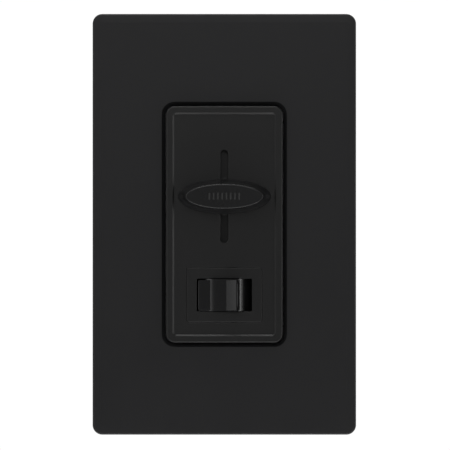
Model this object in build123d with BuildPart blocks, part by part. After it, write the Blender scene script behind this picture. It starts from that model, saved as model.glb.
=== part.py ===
"""Slide dimmer with a small rocker on/off switch, in a screwless wallplate.

Millimetres. X is to the right, Z is up and the front faces -Y. Y = 0 is the face of the wall,
and the origin is at the centre of the plate on that face.
"""

from build123d import *
from math import atan, cos, degrees, radians, sin
import os

os.makedirs("parts", exist_ok=True)

# ---------------------------------------------------------------- driving dimensions

# Screwless wallplate
plate_width = 74.7
plate_height = 119.3
plate_depth = 7.2
plate_corner = 2.75
plate_edge_roll = 0.6
plate_edge_band = 2.4
plate_edge_fall = 0.13
plate_front_wall = 1.8
plate_side_wall = 1.6
opening_width = 33.5
opening_height = 67.5
opening_corner = 2.6
opening_bevel = 1.0
opening_bevel_depth = 1.0
opening_lip_wall = 1.4
opening_lip_depth = 3.5
snap_gap = 0.5
snap_hook_length = 8.0

# Adapter plate and strap
adapter_thickness = 1.6
adapter_rim_inset = 3.0
adapter_rim_wall = 1.2
strap_thickness = 1.6
strap_length = 105.0
strap_ear_width = 24.0
plate_screw_spacing = 96.8
box_screw_spacing = 83.3
box_screw_radius = 1.75
box_screw_neck = 1.5
box_screw_reach = 18.0

# Front bezel
bezel_gap = 0.3
bezel_front = 8.6
bezel_border_side = 1.8
bezel_border_end = 1.85
bezel_step = 0.4
bezel_step_slope = 0.45
bezel_edge = 0.4
fine_edge = 0.15
bezel_wall = 1.6
panel_wall = 1.8
bezel_corner = 2.4
clip_height = 23.0
clip_length = 4.0

# Slider
slider_centre = 7.9
slider_travel = 15.0
slot_width = 2.25
stem_length = 10.9
slide_fit = 0.1
end_gap = 0.2
knob_base_width = 26.3
knob_base_height = 9.85
knob_top_width = 21.7
knob_top_height = 6.9
knob_height = 5.05
knob_lift = 0.3
grip_rib_count = 8
grip_rib_pitch = 1.2
carriage_length = 16.0
carriage_width = 9.0

# Rocker
rocker_centre = -20.0
rocker_thickness = 9.1
rocker_gap = 0.14
rocker_window_width = 15.6
rocker_frame_width = 21.35
rocker_frame_border = 3.0
rocker_tilt = 12.0
rocker_depth = 7.4
rocker_half_width = 5.74
rocker_corner_height = 9.0
rocker_valley_height = 7.7
rocker_face_hollow = 0.05
rocker_end_bow = 0.55
rocker_edge = 0.36
rocker_bevel = 0.32
rocker_lip = 3.6
rocker_wing_reach = 8.5
rocker_wing_gap = 0.3
rocker_wall = 1.2
pivot_radius = 0.75
pivot_clearance = 0.05
plunger_radius = 1.6
plunger_reach = 6.2

# Switch contacts
arm_tilt = 6.0
arm_wing_angle = 12.0
arm_thickness = 0.6
arm_length = 7.2
arm_width = 5.0
arm_gap = 0.25
fulcrum_drop = 1.45
fulcrum_radius = 0.6
contact_reach = 6.0
contact_radius = 1.2
contact_height = 0.5
contact_gap = 0.08

# Housing, board and slide potentiometer
housing_width = 42.0
housing_height = 66.0
housing_depth = 29.0
housing_wall = 1.6
board_front = 9.0
board_thickness = 1.6
board_gap = 0.4
pot_width = 7.5
pot_front = 2.5
pot_sheet = 0.5
lever_width = 1.2
lever_length = 4.0
triac_x = 9.6
triac_bottom = 10.0
terminal_height = 14.0
terminal_depth = 20.5
lead_radius = 0.35
lead_hole = 0.5

# ---------------------------------------------------------------- derived positions

strap_front = -strap_thickness
adapter_back = strap_front
adapter_front = adapter_back - adapter_thickness
cover_inside = -(plate_depth - plate_front_wall)
panel_front = -(bezel_front - bezel_step)
panel_back = panel_front + panel_wall
bezel_width = opening_width - 2 * bezel_gap
bezel_height = opening_height - 2 * bezel_gap
slot_length = stem_length + slider_travel + 2 * end_gap
pivot_y = panel_front + rocker_depth
rocker_window_height = rocker_thickness + 2 * rocker_gap
rocker_frame_height = rocker_window_height + 2 * rocker_frame_border
rocker_box_half_width = rocker_wing_reach + rocker_wing_gap + 0.8
rocker_box_half_height = rocker_window_height / 2 + 1.35
rocker_box_back = 1.2
arm_valley = pivot_y + plunger_reach + arm_gap
fulcrum_y = arm_valley + fulcrum_drop
base_floor = 7.8
board_back = board_front + board_thickness
lead_end = board_back + 0.8
lead_start = board_front - 0.35
rear_start = board_back + 1.2
board_width = housing_width - 2 * housing_wall - 2 * board_gap
board_height = housing_height - 2 * housing_wall - 2 * board_gap
strap_width = housing_width + 2.0
strap_body_height = housing_height + 6.0
housing_screw_x = housing_width / 2 - 3.4
housing_screw_z = housing_height / 2 - 3.4
housing_boss = 2.6
housing_screw_radius = 1.25
housing_screws_at = [(sx * housing_screw_x, sz * housing_screw_z) for sx in (-1, 1) for sz in (-1, 1)]
pot_length = slider_travel + 20.0
strap_slot_length = slider_travel + lever_length + 4.0
recess_floor = housing_width / 2 - 3.8
terminals_at = [(1, terminal_height), (1, -terminal_height), (-1, terminal_height)]
triac_hole_z = triac_bottom + 12.6
triac_lead_z = triac_bottom - 2.5
triac_lead_pitch = 2.54


# ---------------------------------------------------------------- small helpers

def front_plane(y):
    """A drawing plane at depth y, seen from the front: X to the right and Z up."""
    return Plane.XZ.offset(-y)


def back_plane(y):
    """The same plane turned to face the wall, for shapes that narrow towards the back."""
    return Plane(origin=(0, y, 0), x_dir=(1, 0, 0), z_dir=(0, 1, 0))


def block(x0, x1, y0, y1, z0, z1, mode=Mode.ADD):
    """A box between two corners."""
    with Locations(((x0 + x1) / 2, (y0 + y1) / 2, (z0 + z1) / 2)):
        Box(x1 - x0, y1 - y0, z1 - z0, mode=mode)


def rod_y(x, z, y0, y1, radius, mode=Mode.ADD):
    """A round rod running front to back."""
    with Locations((x, (y0 + y1) / 2, z)):
        Cylinder(radius, y1 - y0, rotation=(90, 0, 0), mode=mode)


def rod_z(x, y, z0, z1, radius, mode=Mode.ADD):
    """A round rod running up and down."""
    with Locations((x, y, (z0 + z1) / 2)):
        Cylinder(radius, z1 - z0, mode=mode)


def rod_x(x0, x1, y, z, radius, mode=Mode.ADD):
    """A round rod running across."""
    with Locations(((x0 + x1) / 2, y, z)):
        Cylinder(radius, x1 - x0, rotation=(0, 90, 0), mode=mode)


# ---------------------------------------------------------------- wallplate cover

cover_half_width = plate_width / 2 - plate_side_wall
cover_half_height = plate_height / 2 - plate_side_wall
hook_depth = snap_gap + 0.5

with BuildPart() as wallplate_cover:
    with BuildSketch(front_plane(0)):
        RectangleRounded(plate_width, plate_height, plate_corner)
    extrude(amount=plate_depth)
    front_face = wallplate_cover.faces().sort_by(Axis.Y)[0]
    chamfer(front_face.edges(), plate_edge_fall, plate_edge_band)
    outer_rim = wallplate_cover.edges().filter_by(Plane.XZ).group_by(Axis.Y)[1]
    fillet(outer_rim, plate_edge_roll)
    with BuildSketch(front_plane(0)):
        RectangleRounded(2 * cover_half_width, 2 * cover_half_height, plate_corner - plate_side_wall)
    extrude(amount=-cover_inside, mode=Mode.SUBTRACT)
    with BuildSketch(front_plane(cover_inside + opening_lip_depth - plate_front_wall)):
        RectangleRounded(
            opening_width + 2 * opening_lip_wall,
            opening_height + 2 * opening_lip_wall,
            opening_corner + opening_lip_wall,
        )
    extrude(amount=opening_lip_depth - plate_front_wall)
    with BuildSketch(front_plane(0)):
        RectangleRounded(opening_width, opening_height, opening_corner)
    extrude(amount=plate_depth, mode=Mode.SUBTRACT)
    # The opening's edge slopes steeply in to the bezel
    with BuildSketch(back_plane(-plate_depth)):
        RectangleRounded(
            opening_width + 2 * opening_bevel,
            opening_height + 2 * opening_bevel,
            opening_corner + opening_bevel,
        )
    extrude(
        amount=opening_bevel_depth,
        taper=degrees(atan(opening_bevel / opening_bevel_depth)),
        mode=Mode.SUBTRACT,
    )
    for side in (-1, 1):
        for place in (-1, 1):
            x_wall = side * cover_half_width
            x_inner = side * (cover_half_width - hook_depth)
            z_mid = place * plate_height / 4
            z_low, z_high = z_mid - snap_hook_length / 2, z_mid + snap_hook_length / 2
            x_low, x_high = sorted((x_wall, x_inner))
            block(x_low, x_high, adapter_back + 0.2, adapter_back + 1.2, z_low, z_high)
            block(x_low, x_high, cover_inside, adapter_front - 0.05, z_low, z_high)
            z_wall = side * cover_half_height
            z_inner = side * (cover_half_height - hook_depth)
            x_mid = place * plate_width / 4
            z_low, z_high = sorted((z_wall, z_inner))
            x_low, x_high = x_mid - snap_hook_length / 2, x_mid + snap_hook_length / 2
            block(x_low, x_high, adapter_back + 0.2, adapter_back + 1.2, z_low, z_high)
            block(x_low, x_high, cover_inside, adapter_front - 0.05, z_low, z_high)
    # Notch for a flat blade, to lift the cover off
    block(-3, 3, -1.2, 0, -plate_height / 2, -cover_half_height, mode=Mode.SUBTRACT)

wallplate_cover.part.label = "wallplate_cover"
export_step(wallplate_cover.part, "parts/wallplate_cover.step")

# ---------------------------------------------------------------- wallplate adapter

adapter_width = plate_width - 2 * (plate_side_wall + snap_gap)
adapter_height = plate_height - 2 * (plate_side_wall + snap_gap)
rim_width = adapter_width - 2 * adapter_rim_inset
rim_height = adapter_height - 2 * adapter_rim_inset

with BuildPart() as wallplate_adapter:
    with BuildSketch(front_plane(adapter_back)):
        RectangleRounded(adapter_width, adapter_height, 2.0)
        RectangleRounded(opening_width + 1.0, opening_height + 1.0, opening_corner, mode=Mode.SUBTRACT)
        with Locations((0, box_screw_spacing / 2), (0, -box_screw_spacing / 2)):
            Circle(5.0, mode=Mode.SUBTRACT)
        with Locations((0, plate_screw_spacing / 2), (0, -plate_screw_spacing / 2)):
            Circle(1.95, mode=Mode.SUBTRACT)
    extrude(amount=adapter_thickness)
    with BuildSketch(front_plane(0)):
        RectangleRounded(rim_width, rim_height, 2.0)
        RectangleRounded(
            rim_width - 2 * adapter_rim_wall,
            rim_height - 2 * adapter_rim_wall,
            1.2,
            mode=Mode.SUBTRACT,
        )
    extrude(amount=strap_thickness)

wallplate_adapter.part.label = "wallplate_adapter"
export_step(wallplate_adapter.part, "parts/wallplate_adapter.step")

with BuildPart() as adapter_screws:
    for side in (-1, 1):
        z = side * plate_screw_spacing / 2
        rod_y(0, z, adapter_front - 1.5, adapter_front, 3.4)
        rod_y(0, z, adapter_front, -0.1, 1.7)
    fillet(adapter_screws.edges().filter_by(GeomType.CIRCLE).group_by(Axis.Y)[0], 0.8)
    for side in (-1, 1):
        z = side * plate_screw_spacing / 2
        block(-3.5, 3.5, adapter_front - 1.6, adapter_front - 0.8, z - 0.45, z + 0.45, mode=Mode.SUBTRACT)

adapter_screws.part.label = "adapter_screws"
export_step(adapter_screws.part, "parts/adapter_screws.step")

# ---------------------------------------------------------------- mounting strap

clip_x = bezel_width / 2 - bezel_wall / 2
tab_top = -strap_body_height / 2
tab_thickness = 1.6
tab_x = 13.0
tab_reach = 10.0
tab_half_width = 4.0
ground_screw_y = 5.5

with BuildPart() as mounting_strap:
    with BuildSketch(front_plane(0)):
        RectangleRounded(strap_width, strap_body_height, 2.0)
        RectangleRounded(strap_ear_width, strap_length, 4.0)
        with Locations((0, box_screw_spacing / 2), (0, -box_screw_spacing / 2)):
            SlotOverall(8.0, 4.2, mode=Mode.SUBTRACT)
        with Locations((0, plate_screw_spacing / 2), (0, -plate_screw_spacing / 2)):
            Circle(1.75, mode=Mode.SUBTRACT)
        with Locations((0, rocker_centre)):
            Rectangle(
                2 * rocker_box_half_width + 0.4,
                2 * rocker_box_half_height + 0.6,
                mode=Mode.SUBTRACT,
            )
        with Locations((0, slider_centre)):
            SlotOverall(strap_slot_length, 3.4, rotation=90, mode=Mode.SUBTRACT)
        with Locations([(sx * clip_x, sz * clip_height) for sx in (-1, 1) for sz in (-1, 1)]):
            Rectangle(1.5, clip_length + 0.5, mode=Mode.SUBTRACT)
        with Locations(housing_screws_at):
            Circle(housing_screw_radius + 0.05, mode=Mode.SUBTRACT)
        with Locations((triac_x, triac_hole_z)):
            Circle(1.6, mode=Mode.SUBTRACT)
    extrude(amount=strap_thickness)
    block(
        tab_x - tab_half_width,
        tab_x + tab_half_width,
        strap_front,
        tab_reach,
        tab_top - tab_thickness,
        tab_top,
    )
    rod_z(tab_x, ground_screw_y, tab_top - tab_thickness, tab_top, 2.0, mode=Mode.SUBTRACT)

mounting_strap.part.label = "mounting_strap"
export_step(mounting_strap.part, "parts/mounting_strap.step")

# Black insulating film on the strap, inside the bezel, slit for the lever
film_thickness = 0.2
film_top = bezel_height / 2 - bezel_wall - 0.4
film_bottom = rocker_centre + rocker_box_half_height + 0.6
film_half_width = bezel_width / 2 - bezel_wall - 0.4

with BuildPart() as strap_film:
    with BuildSketch(front_plane(strap_front - 0.01)):
        with Locations((0, (film_top + film_bottom) / 2)):
            Rectangle(2 * film_half_width, film_top - film_bottom)
        with Locations((0, slider_centre)):
            Rectangle(lever_width + 0.4, slider_travel + lever_length + 1.0, mode=Mode.SUBTRACT)
        with Locations((triac_x, triac_hole_z)):
            Circle(3.2, mode=Mode.SUBTRACT)
    extrude(amount=film_thickness)

strap_film.part.label = "strap_film"
export_step(strap_film.part, "parts/strap_film.step")

with BuildPart() as ground_screw:
    rod_z(tab_x, ground_screw_y, tab_top - tab_thickness - 2.9, tab_top - tab_thickness - 0.9, 3.8)
    rod_z(tab_x, ground_screw_y, tab_top - tab_thickness - 0.9, tab_top + 2.2, 1.95)
    block(
        tab_x - 4.0,
        tab_x + 4.0,
        ground_screw_y - 0.5,
        ground_screw_y + 0.5,
        tab_top - tab_thickness - 3.0,
        tab_top - tab_thickness - 1.9,
        mode=Mode.SUBTRACT,
    )

ground_screw.part.label = "ground_screw"
export_step(ground_screw.part, "parts/ground_screw.step")

# ---------------------------------------------------------------- screws that hold it to the box

screw_head_height = 1.5
neck_end = 0.45

with BuildPart() as box_mounting_screws:
    for side in (-1, 1):
        z = side * box_screw_spacing / 2
        rod_y(0, z, strap_front - screw_head_height, strap_front, 4.0)
        rod_y(0, z, strap_front, neck_end, box_screw_neck)
        rod_y(0, z, neck_end, box_screw_reach, box_screw_radius)
    fillet(box_mounting_screws.edges().filter_by(GeomType.CIRCLE).group_by(Axis.Y)[0], 0.8)
    chamfer(box_mounting_screws.edges().filter_by(GeomType.CIRCLE).group_by(Axis.Y)[-1], 0.4)
    for side in (-1, 1):
        z = side * box_screw_spacing / 2
        head_front = strap_front - screw_head_height
        block(-4.2, 4.2, head_front - 0.1, head_front + 0.8, z - 0.5, z + 0.5, mode=Mode.SUBTRACT)

box_mounting_screws.part.label = "box_mounting_screws"
export_step(box_mounting_screws.part, "parts/box_mounting_screws.step")

with BuildPart() as screw_retaining_washers:
    for side in (-1, 1):
        z = side * box_screw_spacing / 2
        rod_y(0, z, 0.02, 0.38, 4.2)
        rod_y(0, z, 0.0, 0.4, box_screw_neck + 0.05, mode=Mode.SUBTRACT)

screw_retaining_washers.part.label = "screw_retaining_washers"
export_step(screw_retaining_washers.part, "parts/screw_retaining_washers.step")

# ---------------------------------------------------------------- front bezel

rail_half_length = (slider_travel + carriage_length) / 2 + 1.0
rail_inner = carriage_width / 2 + slide_fit
clip_hook = 0.6

with BuildPart() as front_bezel:
    with BuildSketch(front_plane(strap_front)):
        RectangleRounded(bezel_width, bezel_height, bezel_corner)
    extrude(amount=bezel_front - strap_thickness)
    fillet(front_bezel.faces().sort_by(Axis.Y)[0].edges(), bezel_edge)
    with BuildSketch(back_plane(-bezel_front)):
        RectangleRounded(bezel_width - 2 * bezel_border_side, bezel_height - 2 * bezel_border_end, 1.2)
    extrude(
        amount=bezel_step,
        taper=degrees(atan(bezel_step_slope / bezel_step)),
        mode=Mode.SUBTRACT,
    )
    with BuildSketch(front_plane(strap_front)):
        RectangleRounded(bezel_width - 2 * bezel_wall, bezel_height - 2 * bezel_wall, 1.0)
    extrude(amount=strap_front - panel_back, mode=Mode.SUBTRACT)
    with BuildSketch(front_plane(panel_back)):
        with Locations((0, slider_centre)):
            SlotOverall(slot_length, slot_width, rotation=90)
        with Locations((0, rocker_centre)):
            Rectangle(2 * rocker_box_half_width + 0.2, 2 * rocker_box_half_height + 0.2)
    extrude(amount=panel_wall, mode=Mode.SUBTRACT)
    with BuildSketch(front_plane(panel_front + 1.25)):
        with Locations((0, rocker_centre)):
            RectangleRounded(rocker_frame_width + 0.16, rocker_frame_height + 0.16, 0.8)
    extrude(amount=1.25, mode=Mode.SUBTRACT)
    level_faces = front_bezel.faces().filter_by(Axis.Y)
    panel_faces = level_faces.filter_by(lambda f: abs(f.center().Y - panel_front) < 1e-4)
    fillet(panel_faces.sort_by(SortBy.AREA)[-1].inner_wires().edges(), fine_edge)
    for side in (-1, 1):
        x_low, x_high = sorted((side * rail_inner, side * (rail_inner + 1.2)))
        rail_low, rail_high = slider_centre - rail_half_length, slider_centre + rail_half_length
        block(x_low, x_high, panel_back, -3.6, rail_low, rail_high)
        for place in (-1, 1):
            z_low = place * clip_height - clip_length / 2
            z_high = z_low + clip_length
            block(side * clip_x - 0.6, side * clip_x + 0.6, strap_front - 0.2, 1.9, z_low, z_high)
            x_low, x_high = sorted((side * clip_x, side * (clip_x + 0.6 + clip_hook)))
            block(x_low, x_high, 0.15, 1.9, z_low, z_high)

front_bezel.part.label = "front_bezel"
export_step(front_bezel.part, "parts/front_bezel.step")

# ---------------------------------------------------------------- rocker frame

with BuildPart() as rocker_bezel:
    with BuildSketch(front_plane(panel_front + 1.2)):
        with Locations((0, rocker_centre)):
            RectangleRounded(rocker_frame_width, rocker_frame_height, 0.75)
    extrude(amount=1.2)
    fillet(rocker_bezel.faces().sort_by(Axis.Y)[0].edges(), 0.22)
    block(
        -rocker_box_half_width,
        rocker_box_half_width,
        panel_front + 1.2,
        rocker_box_back,
        rocker_centre - rocker_box_half_height,
        rocker_centre + rocker_box_half_height,
    )
    with BuildSketch(front_plane(rocker_box_back)):
        with Locations((0, rocker_centre)):
            RectangleRounded(rocker_window_width, rocker_window_height, 0.5)
    extrude(amount=rocker_box_back - panel_front, mode=Mode.SUBTRACT)
    # Behind its lip the window widens into a pocket for the rocker's wings
    pocket_half_width = rocker_wing_reach + rocker_wing_gap
    block(
        -pocket_half_width,
        pocket_half_width,
        panel_front + rocker_lip,
        rocker_box_back,
        rocker_centre - rocker_window_height / 2,
        rocker_centre + rocker_window_height / 2,
        mode=Mode.SUBTRACT,
    )
    fillet(rocker_bezel.faces().sort_by(Axis.Y)[0].inner_wires().edges(), fine_edge)
    rod_z(
        0,
        pivot_y,
        rocker_centre - rocker_box_half_height,
        rocker_centre + rocker_box_half_height,
        pivot_radius + pivot_clearance,
        mode=Mode.SUBTRACT,
    )

rocker_bezel.part.label = "rocker_bezel"
export_step(rocker_bezel.part, "parts/rocker_bezel.step")

# ---------------------------------------------------------------- rocker, tipped to the left at rest

tilt = radians(rocker_tilt)
rocker_plane = Plane(
    origin=(0, pivot_y, rocker_centre),
    x_dir=(cos(tilt), -sin(tilt), 0),
    z_dir=(0, 0, 1),
)
wing_radius = rocker_wing_reach
cheek_inside = rocker_thickness / 2 - rocker_wall
foot_half_width = rocker_half_width + 0.2
top_wall = 1.4
tube_radius = plunger_radius + 0.85
tube_end = 2.6
spring_seat = 4.5
boss_radius = 2.3

face_middle = (rocker_half_width / 2, -(rocker_corner_height + rocker_valley_height) / 2)
face_slope = atan((rocker_corner_height - rocker_valley_height) / rocker_half_width)
hollow_x = rocker_face_hollow * sin(face_slope)
hollow_y = rocker_face_hollow * cos(face_slope)
end_radius = (rocker_thickness / 2) ** 2 / (2 * rocker_end_bow) + rocker_end_bow / 2
face_top = rocker_corner_height - 0.8
top_plane = Plane(
    origin=rocker_plane.from_local_coords((0, -wing_radius + 0.3, 0)),
    x_dir=rocker_plane.x_dir,
    z_dir=-rocker_plane.y_dir,
)

with BuildPart(rocker_plane) as rocker:
    # The paddle: two slightly hollow faces that meet in a valley, bevelled along top and bottom
    core_half = rocker_thickness / 2 - rocker_bevel
    end_start = rocker_half_width - rocker_end_bow
    for start, amount, taper in (
        (-core_half, 2 * core_half, 0),
        (core_half, rocker_bevel, 45),
        (-core_half, -rocker_bevel, 45),
    ):
        with BuildSketch(rocker_plane.offset(start)) as rocker_outline:
            with BuildLine():
                ThreePointArc(
                    (rocker_half_width, -rocker_corner_height),
                    (face_middle[0] + hollow_x, face_middle[1] + hollow_y),
                    (0, -rocker_valley_height),
                )
                ThreePointArc(
                    (0, -rocker_valley_height),
                    (-face_middle[0] - hollow_x, face_middle[1] + hollow_y),
                    (-rocker_half_width, -rocker_corner_height),
                )
                Polyline(
                    (-rocker_half_width, -rocker_corner_height),
                    (-foot_half_width, 0),
                    (foot_half_width, 0),
                    (rocker_half_width, -rocker_corner_height),
                )
            make_face()
            corners = rocker_outline.vertices().filter_by(lambda v: v.Y < -face_top)
            fillet(corners.filter_by(lambda v: abs(v.X) > end_start), rocker_edge)
        extrude(amount=amount, taper=taper)
    # Its two ends bow outwards between the top and bottom walls
    with BuildSketch(top_plane):
        Rectangle(4 * rocker_half_width, 2 * rocker_thickness)
        with Locations((-(end_radius - foot_half_width), 0)):
            Circle(end_radius, mode=Mode.SUBTRACT)
        with Locations((-2 * rocker_half_width, 0)):
            Rectangle(4 * rocker_half_width, 2 * rocker_thickness, mode=Mode.SUBTRACT)
    extrude(amount=rocker_corner_height, mode=Mode.SUBTRACT)
    with BuildSketch(top_plane):
        Rectangle(4 * rocker_half_width, 2 * rocker_thickness)
        with Locations((end_radius - foot_half_width, 0)):
            Circle(end_radius, mode=Mode.SUBTRACT)
        with Locations((2 * rocker_half_width, 0)):
            Rectangle(4 * rocker_half_width, 2 * rocker_thickness, mode=Mode.SUBTRACT)
    extrude(amount=rocker_corner_height, mode=Mode.SUBTRACT)
    # Curved wings that hide the inside as it tips
    with BuildSketch(rocker_plane.offset(-rocker_thickness / 2)):
        Circle(wing_radius)
        with Locations((0, wing_radius / 2)):
            Rectangle(2 * wing_radius, wing_radius, mode=Mode.SUBTRACT)
    extrude(amount=rocker_thickness)
    with BuildSketch(rocker_plane.offset(-cheek_inside)):
        Circle(wing_radius - rocker_wall)
        Polygon(
            (-rocker_half_width + rocker_wall, -rocker_corner_height + top_wall),
            (-foot_half_width + rocker_wall, 0),
            (foot_half_width - rocker_wall, 0),
            (rocker_half_width - rocker_wall, -rocker_corner_height + top_wall),
            (0, -rocker_valley_height + top_wall),
            align=None,
        )
    extrude(amount=2 * cheek_inside, mode=Mode.SUBTRACT)
    # Bearing bosses in the two cheeks
    for side in (-1, 1):
        with Locations((0, 0, side * (cheek_inside + rocker_wall / 2))):
            Cylinder(boss_radius, rocker_wall)
            Cylinder(pivot_radius, rocker_wall, mode=Mode.SUBTRACT)
    # Guide tube for the spring plunger
    with Locations((0, (tube_end - rocker_valley_height + 0.7) / 2, 0)):
        Cylinder(tube_radius, tube_end + rocker_valley_height - 0.7, rotation=(90, 0, 0))
    with Locations((0, (tube_end - spring_seat) / 2, 0)):
        Cylinder(plunger_radius + 0.08, tube_end + spring_seat, rotation=(90, 0, 0), mode=Mode.SUBTRACT)

rocker.part.label = "rocker"
export_step(rocker.part, "parts/rocker.step")

with BuildPart() as rocker_pivot_pins:
    for side in (-1, 1):
        inner = rocker_centre + side * cheek_inside
        outer = rocker_centre + side * (rocker_box_half_height - 0.1)
        z_low, z_high = sorted((inner, outer))
        rod_z(0, pivot_y, z_low, z_high, pivot_radius)

rocker_pivot_pins.part.label = "rocker_pivot_pins"
export_step(rocker_pivot_pins.part, "parts/rocker_pivot_pins.step")

# The pins end at the inner faces of the cheeks, clear of the plunger and its spring
plunger_top = 0.5
plunger_tip_centre = plunger_reach - plunger_radius

with BuildPart(rocker_plane) as rocker_plunger:
    with Locations((0, (plunger_top + plunger_tip_centre) / 2, 0)):
        Cylinder(plunger_radius, plunger_tip_centre - plunger_top, rotation=(90, 0, 0))
    with Locations((0, plunger_tip_centre, 0)):
        Sphere(plunger_radius)
    with Locations((0, plunger_top - 0.6, 0)):
        Cylinder(0.8, 1.4, rotation=(90, 0, 0))

rocker_plunger.part.label = "rocker_plunger"
export_step(rocker_plunger.part, "parts/rocker_plunger.step")

spring_wire = 0.18
spring_mean = 1.25
spring_length = spring_seat + plunger_top - 2 * spring_wire - 0.1
spring_turns = 6
spring_start = plunger_top - spring_wire - 0.05

with BuildPart() as plunger_spring:
    with BuildLine():
        coil = Helix(
            pitch=spring_length / spring_turns,
            height=spring_length,
            radius=spring_mean,
            center=(spring_start * sin(tilt), pivot_y + spring_start * cos(tilt), rocker_centre),
            direction=(-sin(tilt), -cos(tilt), 0),
        )
    with BuildSketch(Plane(origin=coil @ 0, z_dir=coil % 0)):
        Circle(spring_wire)
    sweep(path=coil, is_frenet=True)

plunger_spring.part.label = "plunger_spring"
export_step(plunger_spring.part, "parts/plunger_spring.step")

# ---------------------------------------------------------------- switch contacts

lean = radians(arm_tilt)
wing = radians(arm_wing_angle)
arm_plane = Plane(
    origin=(0, fulcrum_y, rocker_centre),
    x_dir=(cos(lean), sin(lean), 0),
    z_dir=(0, 0, 1),
)

with BuildPart(arm_plane) as contact_arm:
    with BuildSketch(arm_plane.offset(-arm_width / 2)):
        Polygon(
            (0, -fulcrum_drop),
            (arm_length * cos(wing), -fulcrum_drop - arm_length * sin(wing)),
            (
                arm_length * cos(wing) + arm_thickness * sin(wing),
                -fulcrum_drop - arm_length * sin(wing) + arm_thickness * cos(wing),
            ),
            (0, -fulcrum_drop + arm_thickness / cos(wing)),
            (
                -arm_length * cos(wing) - arm_thickness * sin(wing),
                -fulcrum_drop - arm_length * sin(wing) + arm_thickness * cos(wing),
            ),
            (-arm_length * cos(wing), -fulcrum_drop - arm_length * sin(wing)),
            align=None,
        )
        with Locations((0, -fulcrum_drop / 2 + 0.1)):
            Rectangle(3.2, 1.0)
    extrude(amount=arm_width)
    with Locations((0, 0, 0)):
        Cylinder(fulcrum_radius + 0.08, 2 * arm_width, mode=Mode.SUBTRACT)

contact_arm.part.label = "contact_arm"
export_step(contact_arm.part, "parts/contact_arm.step")

rivet_out = arm_thickness + contact_height / 2 + 0.005
rivet_x = contact_reach * cos(wing) + rivet_out * sin(wing)
rivet_y = -fulcrum_drop - contact_reach * sin(wing) + rivet_out * cos(wing)

with BuildPart(arm_plane) as moving_contacts:
    for side in (-1, 1):
        with Locations(Location((side * rivet_x, rivet_y, 0), (0, 0, -side * arm_wing_angle))):
            Cylinder(contact_radius, contact_height, rotation=(90, 0, 0))

moving_contacts.part.label = "moving_contacts"
export_step(moving_contacts.part, "parts/moving_contacts.step")

# Where the right contact meets its anvil with the rocker at rest
close = wing - lean
valley_x = fulcrum_drop * sin(lean)
valley_y = fulcrum_y - fulcrum_drop * cos(lean)
anvil_thickness = 0.7
anvil_out = arm_thickness + contact_height + contact_gap + anvil_thickness / 2
anvil_x = valley_x + contact_reach * cos(close) + anvil_out * sin(close)
anvil_y = valley_y - contact_reach * sin(close) + anvil_out * cos(close)
pedestal_top = anvil_y + 0.15


def fixed_contact(side):
    """Anvil, pedestal and board leg of one fixed contact, on the side given."""
    turn = -side * (arm_wing_angle - arm_tilt)
    with Locations(Location((side * anvil_x, anvil_y, rocker_centre), (0, 0, turn))):
        Cylinder(contact_radius + 0.1, anvil_thickness, rotation=(90, 0, 0))
    x_mid = side * anvil_x
    block(x_mid - 1.5, x_mid + 1.5, pedestal_top, base_floor - 0.02, rocker_centre - 1.8, rocker_centre + 1.8)
    block(x_mid - 0.4, x_mid + 0.4, base_floor - 0.1, lead_end, rocker_centre - 0.8, rocker_centre + 0.8)


with BuildPart() as fixed_contact_left:
    fixed_contact(-1)

fixed_contact_left.part.label = "fixed_contact_left"
export_step(fixed_contact_left.part, "parts/fixed_contact_left.step")

with BuildPart() as fixed_contact_right:
    fixed_contact(1)

fixed_contact_right.part.label = "fixed_contact_right"
export_step(fixed_contact_right.part, "parts/fixed_contact_right.step")

with BuildPart() as fulcrum_terminal:
    rod_z(0, fulcrum_y, rocker_centre - arm_width / 2, rocker_centre + arm_width / 2, fulcrum_radius)
    block(
        -fulcrum_radius,
        fulcrum_radius,
        fulcrum_y,
        base_floor - 0.02,
        rocker_centre - arm_width / 2,
        rocker_centre + arm_width / 2,
    )
    block(-0.4, 0.4, base_floor - 0.1, lead_end, rocker_centre - 0.8, rocker_centre + 0.8)

fulcrum_terminal.part.label = "fulcrum_terminal"
export_step(fulcrum_terminal.part, "parts/fulcrum_terminal.step")

base_half_width = rocker_box_half_width + 1.6
base_half_height = rocker_box_half_height + 0.2
base_wall = 1.2

with BuildPart() as switch_base:
    block(
        -base_half_width,
        base_half_width,
        rocker_box_back + 0.2,
        board_front,
        rocker_centre - base_half_height,
        rocker_centre + base_half_height,
    )
    block(
        -base_half_width + base_wall,
        base_half_width - base_wall,
        rocker_box_back + 0.2,
        base_floor,
        rocker_centre - base_half_height + base_wall,
        rocker_centre + base_half_height - base_wall,
        mode=Mode.SUBTRACT,
    )
    # Relief over the solder joints
    block(
        -base_half_width + base_wall,
        base_half_width - base_wall,
        board_front - 0.5,
        board_front,
        rocker_centre - base_half_height + base_wall,
        rocker_centre + base_half_height - base_wall,
        mode=Mode.SUBTRACT,
    )
    for x_leg in (-anvil_x, 0, anvil_x):
        block(
            x_leg - 0.5,
            x_leg + 0.5,
            base_floor,
            board_front,
            rocker_centre - 0.9,
            rocker_centre + 0.9,
            mode=Mode.SUBTRACT,
        )

switch_base.part.label = "switch_base"
export_step(switch_base.part, "parts/switch_base.step")

# ---------------------------------------------------------------- slider knob and carriage

knob_back = panel_front - knob_lift
knob_front = knob_back - knob_height
stem_narrow = 2.6
stem_half_width = slot_width / 2 - slide_fit
stem_shoulder = panel_front + 0.15
stem_end = knob_front + 1.6
flare_width = knob_base_width - knob_top_width
flare_height = knob_base_height - knob_top_height
# How far up each section lies and how much of the flare is left there
flank_sections = [(0.0, 1.0), (0.12, 0.9), (0.4, 0.5), (0.7, 0.2), (1.0, 0.0)]

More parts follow.
